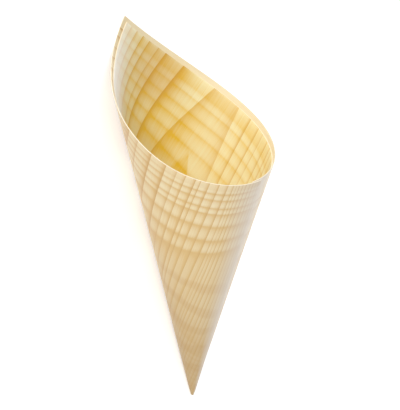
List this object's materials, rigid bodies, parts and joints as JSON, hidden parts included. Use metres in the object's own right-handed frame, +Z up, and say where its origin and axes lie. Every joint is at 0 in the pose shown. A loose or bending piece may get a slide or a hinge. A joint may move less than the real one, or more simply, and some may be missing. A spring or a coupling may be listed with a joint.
{
  "type": "finger food cone",
  "caption": "Disposable cone for finger food, rolled from thin crossed pine veneer, with a blunt closed tip and a slanted mouth that rises to a sharp peak.",
  "frame": {"origin": "below the middle of the lying cone, on the surface that it lies on", "axes": "+X from the tip to the mouth's peak, +Z up; the cone lies on the side of its wall that leads to the peak"},
  "size_m": [0.1762, 0.0672, 0.0614],
  "materials": {
    "pine_veneer": "natural sliced veneer, unfinished, matt to satin"
  },
  "bodies": {
    "root": {"cone": "pine_veneer"}
  },
  "joints": []
}
